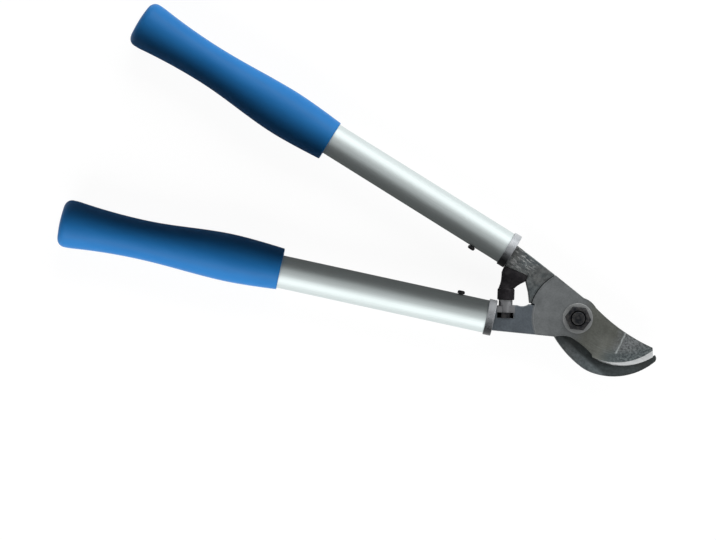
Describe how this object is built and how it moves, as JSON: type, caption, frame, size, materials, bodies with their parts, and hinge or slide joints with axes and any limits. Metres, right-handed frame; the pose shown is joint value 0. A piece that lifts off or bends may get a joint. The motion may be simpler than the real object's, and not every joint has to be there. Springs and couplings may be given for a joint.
{
  "type": "lopper",
  "caption": "Short bypass lopper with a hooked lower jaw, curved blade, tubular arms, moulded grips and rubber bumpers behind the pivot bolt.",
  "frame": {"origin": "centre of the pivot bolt's head face, on the pivot axis; the closed lopper lies on this face and on its two grips", "axes": "+Z along the pivot bolt, from its head to its nut; +X along the bisector of the handles, towards the jaws; +Y across the handles, towards the handle of the hook"},
  "size_m": [0.4612, 0.1974, 0.0351],
  "materials": {
    "dark_forging": "forged and tumbled, dark grey",
    "ground_steel": "ground, matt grey with a bright bevel",
    "satin_aluminium": "satin anodised",
    "polished_ring": "polished steel ring, dulled",
    "black_steel": "black oxide",
    "washer_steel": "plain steel, dulled by handling",
    "bush_bronze": "plain bearing bronze",
    "blue_moulding": "satin blue moulding",
    "black_rubber": "matt black"
  },
  "bodies": {
    "hook_arm": {"hook_blade": "dark_forging", "hook_tube": "satin_aluminium", "hook_collar": "polished_ring", "hook_tube_screw": "black_steel", "hook_grip": "blue_moulding", "hook_bumper": "black_rubber", "hook_bumper_stud": "black_steel", "pivot_bolt": "black_steel", "pivot_nut": "black_steel", "pivot_washer_front": "washer_steel", "pivot_washer_back": "washer_steel"},
    "blade_arm": {"cutting_blade": "ground_steel", "blade_tube": "satin_aluminium", "blade_collar": "polished_ring", "blade_tube_screw": "black_steel", "blade_grip": "blue_moulding", "blade_bumper": "black_rubber", "blade_bumper_stud": "black_steel", "blade_bumper_nut": "black_steel", "pivot_bush": "bush_bronze"}
  },
  "joints": [
    {"name": "pivot", "type": "hinge", "parent": "hook_arm", "child": "blade_arm", "pos_m": [0, 0, 0.017], "axis": [0, 0, 1], "range_deg": [0, 60]}
  ]
}
